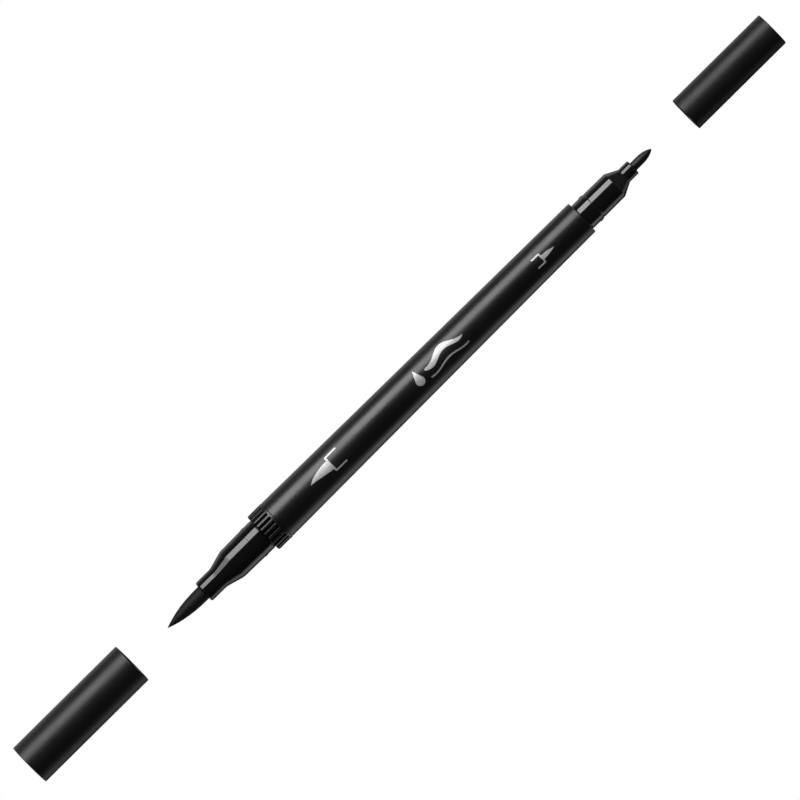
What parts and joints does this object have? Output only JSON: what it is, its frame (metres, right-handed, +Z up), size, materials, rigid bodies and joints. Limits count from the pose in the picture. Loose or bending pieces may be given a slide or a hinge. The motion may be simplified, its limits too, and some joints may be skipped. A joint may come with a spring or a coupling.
{
  "type": "double-ended brush pen",
  "caption": "Slim round double-ended pen with a soft brush tip, a fine fibre tip, a tapered barrel, a ribbed collar and a pull-off cap for each end.",
  "frame": {"origin": "on the pen's axis, midway between the outer ends of the two pulled-off caps", "axes": "+X along the pen from the brush end to the fine end, +Z up, with the pen lying flat"},
  "size_m": [0.2334, 0.0104, 0.0104],
  "materials": {
    "barrel_plastic": "satin black moulded plastic",
    "section_plastic": "polished black moulded plastic",
    "cap_plastic": "satin black moulded plastic",
    "inner_plastic": "natural uncoloured plastic",
    "brush_felt": "black ink-soaked felt",
    "fine_fibre": "black ink-soaked fibre, polished by use",
    "store_fibre": "ink-soaked fibre filler",
    "store_film": "clear plastic film"
  },
  "bodies": {
    "pen": {"barrel": "barrel_plastic", "ribbed_collar": "barrel_plastic", "brush_section": "section_plastic", "fine_section": "section_plastic", "brush_nib_shank": "brush_felt", "fine_nib": "fine_fibre", "ink_store_core": "store_fibre", "ink_store_film": "store_film", "breather_tube": "inner_plastic"},
    "brush_tip": {"brush_nib_head": "brush_felt"},
    "brush_cap": {"brush_cap_shell": "cap_plastic", "brush_cap_end_plug": "cap_plastic", "brush_cap_seal": "inner_plastic"},
    "fine_cap": {"fine_cap_shell": "cap_plastic", "fine_cap_end_plug": "cap_plastic", "fine_cap_seal": "inner_plastic"}
  },
  "joints": [
    {"name": "brush_cap_pull", "type": "slide", "parent": "pen", "child": "brush_cap", "axis": [1, 0, 0], "range_m": [0, 0.04109]},
    {"name": "fine_cap_pull", "type": "slide", "parent": "pen", "child": "fine_cap", "axis": [-1, 0, 0], "range_m": [0, 0.03254]},
    {"name": "brush_flex", "type": "hinge", "parent": "pen", "child": "brush_tip", "pos_m": [-0.0625, 0, 0], "axis": [0, 1, 0], "range_deg": [-12, 12], "stiffness_Nm_per_rad": 0.0002}
  ]
}
